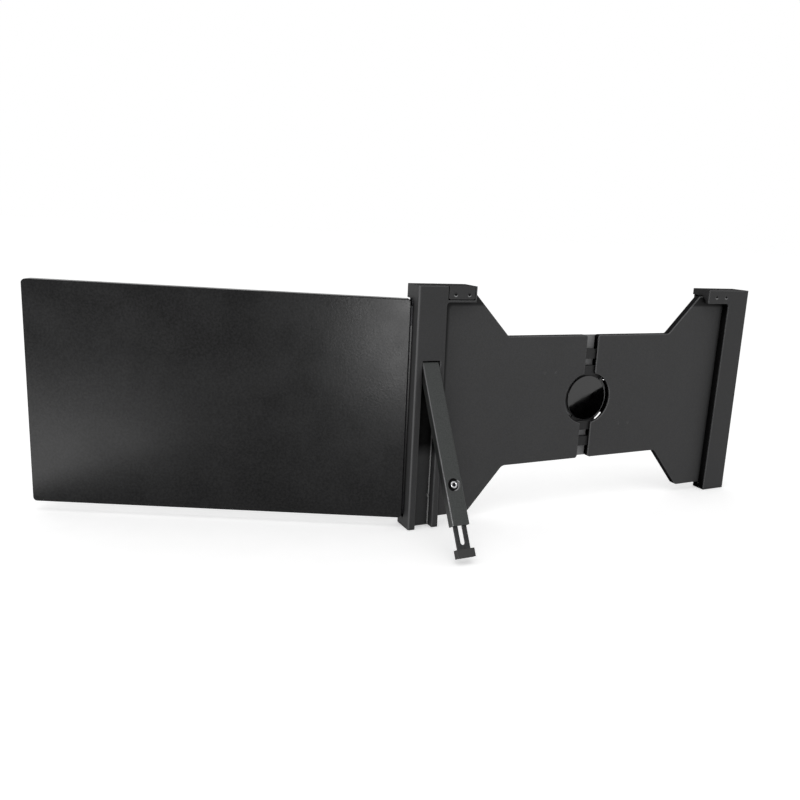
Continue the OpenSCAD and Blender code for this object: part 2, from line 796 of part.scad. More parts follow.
module socket_shell(u, half) {
    difference() {
        along_z_port(u, half - 0.1, screen_low + 0.2, screen_low + 7.6);
        translate([u, board_t + 2.6, screen_low]) linear_extrude(height = 6.8) {
            translate([-half + 1.6, -1.2]) square([2 * half - 3.2, 2.4]);
            for (s = [-1, 1]) translate([s * (half - 1.6), 0]) circle(r = 1.2);
        }
    }
    block([u - half + 2.6, board_t + 2.3, screen_low + 1.4],
        [u + half - 2.6, board_t + 2.9, screen_low + 7]);
}

module usb_sockets() {
    screen_pose() for (i = [0, 1]) socket_shell(ports_u[i], port_half[i]);
}

module video_socket() {
    screen_pose() socket_shell(ports_u[2], port_half[2]);
}

module mainboard() {
    screen_pose() {
        block([case_far - 104, board_t, screen_low + 1.9], [case_far - 10, board_t + 1, lit_low - 3.4]);
        for (u = [case_far - 44, case_far - 103.5])
            block([u, board_t + 1 - e, lit_low - 9.4], [u + 6, board_t + 2, lit_low - 4]);
    }
}

module switches() {
    screen_pose() for (u = button_u)
        block([u - 2, board_t + 1, screen_low + 3.4], [u + 2, board_t + 4, screen_low + 6.4]);
}

module button(i) {
    screen_pose() {
        block([button_u[i] - 1.65, board_t + 2.2, screen_low - 0.6],
            [button_u[i] + 1.65, board_t + 4, screen_low + 2.8]);
        block([button_u[i] - 2.6, board_t + 2.2, screen_low + 1.95],
            [button_u[i] + 2.6, board_t + 4, screen_low + 2.8]);
    }
}

module panel_frame() {
    screen_pose() along_y(case_back + 2.7, case_back + 3.3) difference() {
        translate([lit_u - 1, lit_low - 2]) square([lit_w + 2, lit_h + 4]);
        for (k = [0 : 3]) translate([lit_u + 20 + k * (lit_w - 40) / 4, lit_low + 20])
            square([(lit_w - 40) / 4 - 12, lit_h - 40]);
    }
}

module backlight() {
    screen_pose() block([lit_u - 1, case_back + 3.3, lit_low - 2],
        [lit_u + lit_w + 1, case_back + 5.8, lit_top + 2]);
}

module lcd_panel() {
    screen_pose() block([lit_u - 0.5, case_back + 5.8, lit_low - 1],
        [lit_u + lit_w + 0.5, case_back + 7.2, lit_top + 1]);
}

module cover_glass() {
    screen_pose() along_y(case_back + 7.2, case_front - 0.6)
        translate([lit_u - 2, lit_low - 2]) square([lit_w + 4, lit_h + 4]);
}

module bezel() {
    screen_pose() {
        difference() {
            along_y(case_front - 1.5, case_front) screen_outline(0);
            block([lit_u, case_front - 2, lit_low], [lit_u + lit_w, case_front + 1, lit_top]);
            block([lit_u - 2.2, case_front - 2, lit_low - 2.2],
                [lit_u + lit_w + 2.2, case_front - 0.6, lit_top + 2.2]);
        }
        // posts that press into the rear cover
        for (u = case_posts_u, z = case_posts_z)
            hole_y(u, z, 0.95, case_back + case_wall + 1.5, case_front - 1.5 + e);
    }
}

// steel leaves: a barrel round each pin and a foot on the floor of the rear cover
module hinge_leaves() {
    floor_t = case_back + case_wall;
    screen_pose() for (i = [0, 1]) difference() {
        union() {
            translate([0, 0, barrel_z[i]]) cylinder(r = knuckle_r, h = knuckle_h);
            translate([0, 0, leaf_z[i]]) linear_extrude(height = leaf_h) polygon([
                [-1.6, 0], [-1.6, case_back + 4.5], [3, case_back + 4.5], [3, floor_t],
                [9, floor_t], [9, floor_t + 1], [4.2, floor_t + 1], [4.2, case_front - 1.7],
                [0.9, case_front - 1.7], [0.9, 0]]);
        }
        translate([0, 0, barrel_z[i] - 1]) cylinder(r = pin_r, h = knuckle_h + 2);
    }
}

module hinge_pins() {
    translate([-hinge_a, hinge_y, 0]) {
        translate([0, 0, screen_top - 18]) cylinder(r = pin_r, h = 18 + 0.4 + 6.8);
        translate([0, 0, block_low - 5]) cylinder(r = pin_r, h = 5.4 + 18);
    }
}

// ---- nodes ----

color("silver") hub_carrier();
color("dimgray") guide_rails();
color("black") hub_disc();
color("gray") hub_screws();
color("white") pinion();
color("dimgray") left() plate_back_shell(1);  // left_plate_shell
color("gray") left() plate_front_cover();  // left_plate_cover
color("dimgray") left() rack(1);  // left_rack
color("silver") left() rack_screws(1);  // left_rack_screws
color("silver") left() cover_screws();  // left_cover_screws
color("white") left() slide_guides();  // left_guides
color("black") left() seat_pads();  // left_pads
color("dimgray") left_column();
color("gray") left() lid_channel();  // left_channel
color("black") left() channel_pad();  // left_channel_pad
color("silver") left() channel_screws();  // left_channel_screws
color("dimgray") left_clip();
color("black") left() clip_pad();  // left_clip_pad
color("gray") left() clip_screw_set(0);  // left_clip_screws
color("silver") leg_pin();
color("dimgray") plate_back_shell(-1);  // right_plate_shell
color("gray") plate_front_cover();  // right_plate_cover
color("dimgray") rack(-1);  // right_rack
color("silver") rack_screws(-1);  // right_rack_screws
color("silver") cover_screws();  // right_cover_screws
color("white") slide_guides();  // right_guides
color("black") seat_pads();  // right_pads
color("dimgray") right_column();
color("gray") lid_channel();  // right_channel
color("black") channel_pad();  // right_channel_pad
color("silver") channel_screws();  // right_channel_screws
color("black") clip_pad();  // right_clip_pad
color("gray") clip_screw_set(clip_shift);  // right_clip_screws
color("darkslategray") leg();
color("black") clamp_washer();
color("silver") clamp_bar();
color("silver") clamp_screw();
color("gray") foot_strap();
color("black") foot_pad();
color("dimgray") rear_cover();
color("black") bezel();
color("darkslategray") cover_glass();
color("black") lcd_panel();
color("white") backlight();
color("silver") panel_frame();
color("green") mainboard();
color("silver") usb_sockets();
color("silver") video_socket();
color("silver") switches();
color("black") button(2);  // power_button
color("black") button(1);  // plus_button
color("black") button(0);  // minus_button
color("silver") hinge_leaves();
color("silver") hinge_pins();
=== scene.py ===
import math
import bmesh
import bpy
from mathutils import Matrix, Vector


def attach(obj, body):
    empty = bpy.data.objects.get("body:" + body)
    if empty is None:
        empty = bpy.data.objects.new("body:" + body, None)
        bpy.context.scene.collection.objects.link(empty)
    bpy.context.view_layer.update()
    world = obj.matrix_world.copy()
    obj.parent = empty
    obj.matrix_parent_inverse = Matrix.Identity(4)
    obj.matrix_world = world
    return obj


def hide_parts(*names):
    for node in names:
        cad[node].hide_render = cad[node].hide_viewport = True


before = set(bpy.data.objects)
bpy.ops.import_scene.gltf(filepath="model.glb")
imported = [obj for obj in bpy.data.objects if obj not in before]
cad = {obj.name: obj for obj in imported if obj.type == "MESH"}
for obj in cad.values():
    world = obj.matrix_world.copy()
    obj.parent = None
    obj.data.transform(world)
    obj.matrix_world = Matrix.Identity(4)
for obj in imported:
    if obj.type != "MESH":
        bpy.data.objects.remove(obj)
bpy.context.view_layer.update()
scene = bpy.context.scene


# ---- Camera ------------------------------------------------------------------
# A tripod camera with a short normal lens stands behind the laptop, on the screen's side and
# a little over the lid's top edge. It is turned so that the whole extender fills the frame.
eye = Vector((-0.4778, -0.6136, 0.0578))
eye_right = Vector((0.8876, -0.4572, 0.0551))
eye_up = Vector((0.0510, 0.2166, 0.9749))
eye_back = Vector((-0.4577, -0.8626, 0.2156))

camera_data = bpy.data.cameras.new("camera")
camera_data.lens = 35.87
camera_data.sensor_width = 36.0
camera_data.shift_x = -0.056
camera_data.clip_start = 0.02
camera_data.clip_end = 60.0
camera = bpy.data.objects.new("camera", camera_data)
camera_axes = Matrix((eye_right, eye_up, eye_back)).transposed()
camera.matrix_world = Matrix.Translation(eye) @ camera_axes.to_4x4()
scene.collection.objects.link(camera)
scene.camera = camera
scene.view_settings.view_transform = "Standard"


# ---- Back plate shells -------------------------------------------------------
# Two half shells, moulded of black ABS with a fine spark-eroded grain, slide apart behind the
# lid. Their backs have a thin coat of grey spray, and their upper left edges are painted
# lighter, a painted highlight.
class Wire:
    """One output of a node, so that maths on it reads as an expression."""

    def __init__(self, net, socket):
        self.net = net
        self.socket = socket

    def maths(self, operation, first, second=0.0):
        return self.net.node("ShaderNodeMath", {"operation": operation}, {0: first, 1: second})

    def __add__(self, other):
        return self.maths("ADD", self, other)

    __radd__ = __add__

    def __mul__(self, other):
        return self.maths("MULTIPLY", self, other)

    __rmul__ = __mul__

    def __sub__(self, other):
        return self.maths("SUBTRACT", self, other)

    def __rsub__(self, other):
        return self.maths("SUBTRACT", other, self)

    def __truediv__(self, other):
        return self.maths("DIVIDE", self, other)

    def __rtruediv__(self, other):
        return self.maths("DIVIDE", other, self)

    def __neg__(self):
        return self.maths("MULTIPLY", self, -1.0)

    def at_least(self, other):
        return self.maths("MAXIMUM", self, other)

    def root(self):
        return self.maths("SQRT", self)


class Net:
    """A node tree, filled by one call for each node."""

    def __init__(self, tree):
        self.nodes = tree.nodes
        self.links = tree.links

    def put(self, socket, value):
        """Sets a socket to a value, a colour or a link, or to a list of links."""
        if isinstance(value, list):
            for wire in value:
                self.links.new(wire.socket, socket)
        elif isinstance(value, Wire):
            self.links.new(value.socket, socket)
        elif socket.type == "RGBA" and len(value) == 3:
            socket.default_value = (*value, 1.0)
        else:
            socket.default_value = value

    def node(self, kind, settings=None, sockets=None, output=0):
        made = self.nodes.new(kind)
        for key, value in (settings or {}).items():
            setattr(made, key, value)
        for key, value in (sockets or {}).items():
            self.put(made.inputs[key], value)
        return Wire(self, made.outputs[output]) if made.outputs else None

    def dot(self, first, second):
        return self.node("ShaderNodeVectorMath", {"operation": "DOT_PRODUCT"},
                         {0: first, 1: second}, output="Value")


BACK = (0.0, -1.0, 0.0)
UP = (0.0, 0.0, 1.0)
LEFT = (-1.0, 0.0, 0.0)
UPPER_LEFT = (-0.80, 0.0, 0.60)


class Finish(Net):
    """A material under one name, with its shader and the nodes that vary it."""

    def __init__(self, name, **constants):
        self.material = bpy.data.materials.new(name)
        self.material.use_nodes = True
        super().__init__(self.material.node_tree)
        self.shader = self.nodes["Principled BSDF"]
        self.coat = Wire(self, self.shader.outputs["BSDF"])
        self.surface({key.replace("_", " "): value for key, value in constants.items()})

    def surface(self, sockets):
        """Sets sockets of the shader."""
        for key, value in sockets.items():
            self.put(self.shader.inputs[key], value)

    def show(self, coat):
        """Makes another shader the one that is seen."""
        self.put(self.nodes["Material Output"].inputs["Surface"], coat)

    def cover(self, *names):
        """Puts the finish on CAD nodes."""
        for name in names:
            cad[name].data.materials.clear()
            cad[name].data.materials.append(self.material)

    def place(self):
        """Position on the object."""
        return self.node("ShaderNodeTexCoord", output="Object")

    def distance(self, direction):
        """How far a point of the object lies from its origin along a direction, in metres."""
        return self.dot(self.place(), direction)

    def noise(self, size, detail=2.0, roughness=0.5):
        """Soft random patches about `size` metres across."""
        return self.node("ShaderNodeTexNoise", {}, {
            "Vector": self.place(), "Scale": 1.0 / size,
            "Detail": detail, "Roughness": roughness})

    def span(self, wire, low, high, from_low=0.35, from_high=0.65):
        """Maps one span of values onto another. The first is the middle of a noise by default."""
        return self.node("ShaderNodeMapRange", {"clamp": True}, {
            "Value": wire, "From Min": from_low, "From Max": from_high,
            "To Min": low, "To Max": high})

    def blend(self, factor, first, second):
        """Mixes two colours by a factor."""
        return self.node("ShaderNodeMix", {"data_type": "RGBA"},
                         {0: factor, 6: first, 7: second}, output=2)

    def soft_edge(self, radius):
        """The surface direction, as if each sharp edge had a small radius."""
        return self.node("ShaderNodeBevel", {"samples": 6}, {"Radius": radius})

    def bump(self, height, depth, over=None):
        """A small relief, `depth` metres from its lowest point to its highest."""
        sockets = {"Height": height, "Distance": depth}
        if over is not None:
            sockets["Normal"] = over
        return self.node("ShaderNodeBump", {}, sockets)

    def wear_and_sheen(self, soft):
        """1 along sharp edges and 0 on open faces."""
        face = self.node("ShaderNodeNewGeometry", output="Normal")
        return self.span(self.dot(soft, face), 1.0, 0.0, 0.80, 0.995)

    def along(self, direction, normal):
        """How squarely a surface looks along a direction of the object: 1 straight, 0 side on."""
        own = self.node("ShaderNodeVectorTransform", {
            "vector_type": "NORMAL", "convert_from": "WORLD", "convert_to": "OBJECT"},
            {"Vector": normal})
        return self.dot(own, direction)

    def looking(self, direction, start, full):
        """0 to 1 for flat faces, as they come to look more squarely along a direction."""
        flat = self.node("ShaderNodeNewGeometry", output="True Normal")
        return self.span(self.along(direction, flat), 0.0, 1.0, start, full)

    def skin(self, direction, level, until=1.0, share=1.0, below=1.0):
        """`share` on faces that look along a direction and lie between two levels, and 0 elsewhere.

        The levels are distances along that direction, in metres. A skin ends at the height
        `below` and has nothing over it.
        """
        near = 0.0003
        fade = 0.006
        out = self.distance(direction)
        return (self.looking(direction, 0.35, 0.55)
                * self.span(out, 0.0, 1.0, level - near, level + near)
                * self.span(out, share, 0.0, until - near, until + near)
                * self.span(self.distance(UP), 1.0, 0.0, below - fade, below + fade))

    def upper_left_highlight(self, direction, soft, least):
        """1 along the upper left edges round the faces that look along a direction.

        The other edges round those faces have `least`, and open faces have 0.
        """
        turn = self.along(direction, soft)
        rim = self.span(turn, 0.0, 1.0, 0.12, 0.35) * self.span(turn, 1.0, 0.0, 0.88, 0.985)
        return rim * self.span(self.along(UPPER_LEFT, soft), least, 1.0, 0.05, 0.40)

    def crease(self, reach):
        """1 on open faces and 0 deep in the corners where pieces meet."""
        open_sky = self.node("ShaderNodeAmbientOcclusion", {"samples": 8},
                             {"Distance": reach}, output="AO")
        return self.span(open_sky, 0.0, 1.0, 0.45, 0.92)


def moulded(name, dark, light, grain, depth, rough, edge, **constants):
    """Grained plastic: flecks of tone, a moulded grain, and sharp edges painted lighter, partly
    rubbed wear and partly a painted highlight.
    """
    finish = Finish(name, **constants)
    fine = finish.noise(grain, detail=3.0, roughness=0.6)
    broad = finish.noise(0.035)
    flecks = finish.span(fine, 0.0, 0.75) + finish.span(broad, 0.0, 0.25)
    finish.tone = finish.blend(flecks, dark, light)
    soft = finish.soft_edge(edge)
    # Sharp edges are painted lighter: partly rubbed wear, partly a painted highlight.
    wear_and_sheen = finish.wear_and_sheen(soft)
    wear_and_sheen_colour = tuple(2.2 * c + 0.01 for c in light)
    finish.surface({
        "Base Color": finish.blend(wear_and_sheen * 0.5, finish.tone, wear_and_sheen_colour),
        "Roughness": finish.span(broad, rough - 0.03, rough + 0.04) - wear_and_sheen * 0.06,
        "Normal": finish.bump(fine, depth, soft),
    })
    return finish


def sprayed(name, dark, light, bare_and_shade, edge, skins):
    """Grained plastic with a grey spray on its skins, painted shade in its corners and bare sides.
    """
    finish = moulded(name, dark, light, grain=0.0011, depth=0.00004, rough=0.56, edge=edge,
                     Specular_IOR_Level=0.12)
    # The upper left edges are painted lighter, a painted highlight.
    finish.line = finish.upper_left_highlight(BACK, finish.soft_edge(edge), 0.25)
    # In the corners the sprayed tone is painted darker, towards the bare colour: painted shade.
    finish.grimy = finish.blend(finish.crease(0.0045), bare_and_shade, finish.tone)
    # Deep in their corners the bare sides are painted nearly black, a painted shade, with random
    # dust patches.
    shade_black = (0.0006, 0.0006, 0.0006)
    dust = finish.span(finish.noise(0.003), 0.75, 1.0)
    sides = finish.node("ShaderNodeBsdfPrincipled", {}, {
        "Base Color": finish.blend(finish.crease(0.020) * dust, shade_black, bare_and_shade),
        "Roughness": 1.0, "Specular IOR Level": 0.0})
    spray = sum(finish.skin(**outer) for outer in skins).at_least(finish.line)
    finish.show(finish.node("ShaderNodeMixShader", {}, {0: spray, 1: sides, 2: finish.coat}))
    return finish


def tint(finish, colour, highlight_colour):
    """Gives the sprayed faces their colour and paints their upper left edges lighter, a painted
    highlight.
    """
    finish.surface({"Base Color": finish.blend(finish.line, colour, highlight_colour)})


plate_black = sprayed("plate_shell", (0.047, 0.047, 0.0475), (0.058, 0.058, 0.059),
                      bare_and_shade=(0.014, 0.014, 0.0142), edge=0.0024,
                      skins=[{"direction": BACK, "level": 0.0080}])

# A dark band is painted on the left shell's back beside its column and on both shells' backs
# under their hooks, a painted shadow. The two bands meet in a rounded corner.
shadow_side = 0.1572
shadow_top = -0.0103
shadow_round = 0.004
past_side = plate_black.distance(LEFT) - (shadow_side - shadow_round)
past_hook = plate_black.distance(UP) - (shadow_top - shadow_round)
past_side = past_side.at_least(0.0)
past_hook = past_hook.at_least(0.0)
past_corner = (past_side * past_side + past_hook * past_hook).root()
painted_shadow = plate_black.span(past_corner, 0.0, 0.85, shadow_round - 0.0010, shadow_round + 0.0012)
# The near-black colour is the painted shadow band; the last colour is the painted highlight.
tint(plate_black, plate_black.blend(painted_shadow, plate_black.grimy, (0.005, 0.005, 0.005)),
     highlight_colour=(0.16, 0.16, 0.162))
plate_black.cover("left_plate_shell", "right_plate_shell")


# ---- Rails, guides and racks -------------------------------------------------
# Two steel rails with a black dip coat run through both shells between slips of white acetal.
# A toothed nylon rack is screwed into each shell and reaches across the middle.
rail_coat = moulded("rail_steel", (0.006, 0.006, 0.0063), (0.010, 0.010, 0.0105),
                    grain=0.0022, depth=0.00003, rough=0.38, edge=0.0003,
                    Specular_IOR_Level=0.3)
rail_coat.cover("guide_rails")

guide_white = moulded("guide_plastic", (0.60, 0.59, 0.55), (0.68, 0.67, 0.63),
                      grain=0.0016, depth=0.00001, rough=0.36, edge=0.0002)
guide_white.cover("left_guides", "right_guides")

rack_black = moulded("rack_plastic", (0.006, 0.006, 0.0063), (0.010, 0.010, 0.0105),
                     grain=0.0009, depth=0.00002, rough=0.42, edge=0.0002,
                     Specular_IOR_Level=0.3)
rack_black.cover("left_rack", "right_rack")


# ---- Screws in the racks -----------------------------------------------------
# Two cross-head screws hold each rack to its shell from the front. They are zinc-plated steel
# with a rolled thread, driven home by hand, so no two recesses stand alike.
mm = 0.001


def plated(name, colour, rough):
    """Plated steel: a fine pitted skin and small stains in the coat."""
    finish = Finish(name, Metallic=1.0)
    stain = finish.noise(0.0015, detail=3.0)
    pits = finish.noise(0.00018, detail=1.0)
    dull = tuple(0.72 * c for c in colour)
    finish.surface({
        "Base Color": finish.blend(finish.span(stain, 0.0, 1.0), dull, colour),
        "Roughness": finish.span(stain, rough, rough + 0.12),
        "Normal": finish.bump(pits, 0.000006, finish.soft_edge(0.0001)),
    })
    return finish


screw_zinc = plated("screw_steel", (0.58, 0.58, 0.60), rough=0.26)

screw_tree = bpy.data.node_groups.new("screw set", "GeometryNodeTree")
screw_inputs = [
    ("Points", "NodeSocketGeometry"), ("Head Radius", "NodeSocketFloat"),
    ("Neck Radius", "NodeSocketFloat"), ("Head Depth", "NodeSocketFloat"),
    ("Shank Radius", "NodeSocketFloat"), ("Shank Length", "NodeSocketFloat"),
    ("Thread Pitch", "NodeSocketFloat"), ("Recess Radius", "NodeSocketFloat"),
    ("Recess Depth", "NodeSocketFloat"), ("Cross Recess", "NodeSocketBool"),
    ("Turn", "NodeSocketVector"), ("Finish", "NodeSocketMaterial")]
for label, kind in screw_inputs:
    screw_tree.interface.new_socket(label, in_out="INPUT", socket_type=kind)
screw_tree.interface.new_socket("Screws", in_out="OUTPUT", socket_type="NodeSocketGeometry")
screw_net = Net(screw_tree)
ask = {label: screw_net.node("NodeGroupInput", output=label) for label, _ in screw_inputs}


def shape(kind, **sockets):
    """A node of the screw tree with no settings of its own."""
    named = {key.replace("_", " "): value for key, value in sockets.items()}
    return screw_net.node(kind, {}, named)


def lifted(piece, height):
    """A piece moved along the screw's axis."""
    up = shape("ShaderNodeCombineXYZ", Z=height)
    return shape("GeometryNodeTransform", Geometry=piece, Translation=up)


def bar(long, wide, deep):
    size = shape("ShaderNodeCombineXYZ", X=long, Y=wide, Z=deep)
    return shape("GeometryNodeMeshCube", Size=size)


# The head is a cone or a cylinder, with a cross or a hexagon sunk into it.
head = lifted(shape("GeometryNodeMeshCone", Vertices=32, Radius_Top=ask["Head Radius"],
                    Radius_Bottom=ask["Neck Radius"], Depth=ask["Head Depth"]),
              -ask["Head Depth"])
recess_deep = ask["Recess Depth"] * 2.0
hexagon = shape("GeometryNodeMeshCylinder", Vertices=6, Radius=ask["Recess Radius"],
                Depth=recess_deep)
arm_share = 0.42
cross_long = ask["Recess Radius"] * 2.0
cross_wide = ask["Recess Radius"] * arm_share
cross = screw_net.node("GeometryNodeMeshBoolean", {"operation": "UNION"}, {
    "Mesh 2": [bar(cross_long, cross_wide, recess_deep),
               bar(cross_wide, cross_long, recess_deep)]})
recess = screw_net.node("GeometryNodeSwitch", {"input_type": "GEOMETRY"}, {
    "Switch": ask["Cross Recess"], "False": hexagon, "True": cross})
cut_head = screw_net.node("GeometryNodeMeshBoolean", {"operation": "DIFFERENCE"},
                          {"Mesh 1": head, "Mesh 2": [recess]})

# The thread is a square wire, wound on the core.
core_share = 0.84
wire_share = 0.15
core_radius = ask["Shank Radius"] * core_share
core = lifted(shape("GeometryNodeMeshCylinder", Vertices=16, Radius=core_radius,
                    Depth=ask["Shank Length"]),
              -ask["Head Depth"] - ask["Shank Length"] * 0.5)
helix = shape("GeometryNodeCurveSpiral", Resolution=14,
              Rotations=ask["Shank Length"] / ask["Thread Pitch"] - 1.0,
              Start_Radius=core_radius, End_Radius=core_radius,
              Height=ask["Shank Length"] - ask["Thread Pitch"])
ridge = shape("GeometryNodeCurvePrimitiveCircle", Resolution=4,
              Radius=ask["Shank Radius"] * wire_share)
thread = lifted(shape("GeometryNodeCurveToMesh", Curve=helix, Profile_Curve=ridge,
                      Fill_Caps=True),
                -ask["Head Depth"] - ask["Shank Length"] + ask["Thread Pitch"] * 0.5)

# Each screw is aimed along its hole and spun by up to a quarter turn.
quarter_turn = 1.57
screw = shape("GeometryNodeJoinGeometry", Geometry=[cut_head, core, thread])
aimed = shape("GeometryNodeTransform", Geometry=screw, Rotation=ask["Turn"])
spin = screw_net.node("FunctionNodeRandomValue", {"data_type": "FLOAT"},
                      {2: 0.0, 3: quarter_turn, "Seed": 7}, output=1)
hole_axis = screw_net.node("ShaderNodeVectorRotate", {"rotation_type": "EULER_XYZ"},
                           {"Vector": UP, "Rotation": ask["Turn"]})
spun = shape("FunctionNodeAxisAngleToRotation", Axis=hole_axis, Angle=spin)
placed = shape("GeometryNodeInstanceOnPoints", Points=ask["Points"], Instance=aimed,
               Rotation=spun)
solid = shape("GeometryNodeRealizeInstances", Geometry=placed)
coated = shape("GeometryNodeSetMaterial", Geometry=solid, Material=ask["Finish"])
shape("NodeGroupOutput", Screws=coated)

AIM_BACK = (math.pi / 2, 0.0, 0.0)
AIM_FRONT = (-math.pi / 2, 0.0, 0.0)


def screw_set(name, body, slot, finish, aim, heads, node, **sizes):
    """Screws with the middles of their head tops at the given points, in place of a CAD node."""
    mesh = bpy.data.meshes.new(name + " points")
    mesh.from_pydata([Vector(p) * mm for p in heads], [], [])
    seed = bpy.data.objects.new(name + " points", mesh)
    scene.collection.objects.link(seed)
    grow = seed.modifiers.new("screws", "NODES")
    grow.node_group = screw_tree
    keys = {item.name: item.identifier for item in screw_tree.interface.items_tree
            if item.in_out == "INPUT"}
    for label, size in sizes.items():
        key = keys[label.replace("_", " ").title()]
        grow[key] = size if label == "cross_recess" else size * mm
    grow[keys["Turn"]] = aim
    grow[keys["Finish"]] = finish.material
    evaluated = seed.evaluated_get(bpy.context.evaluated_depsgraph_get())
    made = bpy.data.objects.new(name, bpy.data.meshes.new_from_object(evaluated))
    made.data.name = name
    scene.collection.objects.link(made)
    seed.modifiers.remove(grow)
    bpy.data.objects.remove(seed)
    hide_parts(node)
    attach(made, body)


halves = ((-1, "left", "left_half"), (1, "right", "right_half"))
hub_z = -100.0
rack_front = -2.1
rack_middle = 27.45
rack_screw_x = (41.0, 53.0)
for side, half, body in halves:
    rack_z = hub_z - side * rack_middle
    screw_set(half + "_rack_screw_set", body, "screw_steel", screw_zinc, AIM_FRONT,
              [(side * x, rack_front, rack_z) for x in rack_screw_x], half + "_rack_screws",
              head_radius=2.2, neck_radius=2.2, head_depth=0.9, shank_radius=1.15,
              shank_length=4.3, thread_pitch=0.6, recess_radius=1.25, recess_depth=0.6,
              cross_recess=True)


# ---- Hub ---------------------------------------------------------------------
# A pressed steel strip under a grey stove enamel joins the two rails and bears the axle of the
# black nylon pinion. A gloss black disc, without any mark, snaps on the axle's end.
strip_grey = moulded("carrier_coat", (0.19, 0.19, 0.192), (0.24, 0.24, 0.243),
                     grain=0.0018, depth=0.00002, rough=0.42, edge=0.0003,
                     Specular_IOR_Level=0.3)
strip_grey.cover("hub_carrier")

pinion_black = moulded("gear_plastic", (0.007, 0.007, 0.0073), (0.012, 0.012, 0.0125),
                       grain=0.0012, depth=0.00001, rough=0.36, edge=0.00015,
                       Specular_IOR_Level=0.3)
pinion_black.cover("pinion")

disc_gloss = Finish("hub_gloss", Specular_IOR_Level=0.66)
haze = disc_gloss.noise(0.012)
disc_gloss.surface({
    "Base Color": disc_gloss.blend(disc_gloss.span(haze, 0.0, 1.0),
                                   (0.0006, 0.0006, 0.0007), (0.0012, 0.0012, 0.0013)),
    "Roughness": disc_gloss.span(haze, 0.03, 0.06),
    "Normal": disc_gloss.bump(disc_gloss.noise(0.009, detail=1.0), 0.00001,
                              disc_gloss.soft_edge(0.0003)),
})
disc_gloss.cover("hub_disc")

strip_front = -0.8
rail_screws = [(x, strip_front, hub_z + z) for z in (-43.4, 43.4) for x in (-3.5, 3.5)]
screw_set("hub_screw_set", "carrier", "screw_steel", screw_zinc, AIM_FRONT,
          [(0.0, strip_front, hub_z)] + rail_screws, "hub_screws",
          head_radius=1.1, neck_radius=1.1, head_depth=0.8, shank_radius=1.0,
          shank_length=2.9, thread_pitch=0.5, recess_radius=0.8, recess_depth=0.55,
          cross_recess=True)


# ---- Plate covers and seat pads ----------------------------------------------
# A flat matt cover closes the front of each shell and is held by four small screws. Die-cut
# pads of closed-cell rubber are stuck on it, so that the lid isn't scratched.
cover_black = moulded("plate_cover", (0.014, 0.014, 0.015), (0.022, 0.022, 0.023),
                      grain=0.0007, depth=0.00002, rough=0.55, edge=0.0003)
cover_black.cover("left_plate_cover", "right_plate_cover")

cover_front = -0.8
for side, half, body in halves:
    corners = [(side * x, cover_front, hub_z + z) for x in (60.0, 84.0) for z in (-54.0, 54.0)]
    screw_set(half + "_cover_screw_set", body, "screw_steel", screw_zinc, AIM_FRONT,
              corners, half + "_cover_screws", head_radius=1.35, neck_radius=1.05,
              head_depth=0.75, shank_radius=1.05, shank_length=3.9, thread_pitch=0.55,
              recess_radius=0.95, recess_depth=0.6, cross_recess=True)

pad_rubber = moulded("seat_rubber", (0.010, 0.010, 0.010), (0.026, 0.026, 0.026),
                     grain=0.0005, depth=0.00006, rough=0.74, edge=0.0003)
pad_rubber.cover("left_pads", "right_pads")


# ---- Columns and hooks -------------------------------------------------------
# Each plate is screwed to a hollow column of the same grained ABS. A hook at its top reaches
# over the lid; the left one is a separate moulding, held by two countersunk black screws.
FRONT = (0.0, 1.0, 0.0)
RIGHT = (1.0, 0.0, 0.0)
spray_dark = (0.039, 0.039, 0.0395)
spray_light = (0.048, 0.048, 0.049)
bare_black = (0.018, 0.018, 0.0182)
column_skins = [{"direction": BACK, "level": 0.0150},
                {"direction": FRONT, "level": -0.0200},
                {"direction": UP, "level": 0.0040, "share": 0.17}]
outer_sides = [{"direction": LEFT, "level": 0.1890},
               {"direction": RIGHT, "level": 0.1890}]
right_hook_end = {"direction": LEFT, "level": -0.1500, "until": -0.1200, "share": 0.42}

# Beside the leg's lower end the pocket lies open. The spray reaches its floor and its inner wall
# only below the height where the leg's shadow ends, so the bare black above is a painted shadow.
# The edge between them is painted pale, a painted highlight.
pocket_floor = {"direction": BACK, "level": 0.0060, "until": 0.0150, "below": -0.138}
pocket_wall = {"direction": LEFT, "level": 0.1660, "until": 0.1690, "below": -0.138}
column_black = sprayed("column_case", spray_dark, spray_light, bare_black, edge=0.0024,
                       skins=column_skins + outer_sides
                       + [right_hook_end, pocket_floor, pocket_wall])
# Painted shade in the corners; the upper left edges, and the pocket's edge in pale, carry a painted
# highlight.
tint(column_black, column_black.grimy, highlight_colour=column_black.blend(
    column_black.skin(**pocket_floor), (0.12, 0.12, 0.122), (0.72, 0.72, 0.722)))
column_black.cover("left_column", "right_column")

clip_black = sprayed("clip_case", spray_dark, spray_light, bare_black, edge=0.0006,
                     skins=column_skins)
# Painted shade in the corners, and a painted highlight on the upper left edges.
tint(clip_black, clip_black.grimy, highlight_colour=(0.070, 0.070, 0.071))
clip_black.cover("left_clip")
pad_rubber.cover("left_clip_pad", "right_clip_pad")

hook_back = -16.5
clip_screw_z = -0.5
clip_screw_x = {"left": (-155.9, -142.7), "right": (146.3, 159.5)}

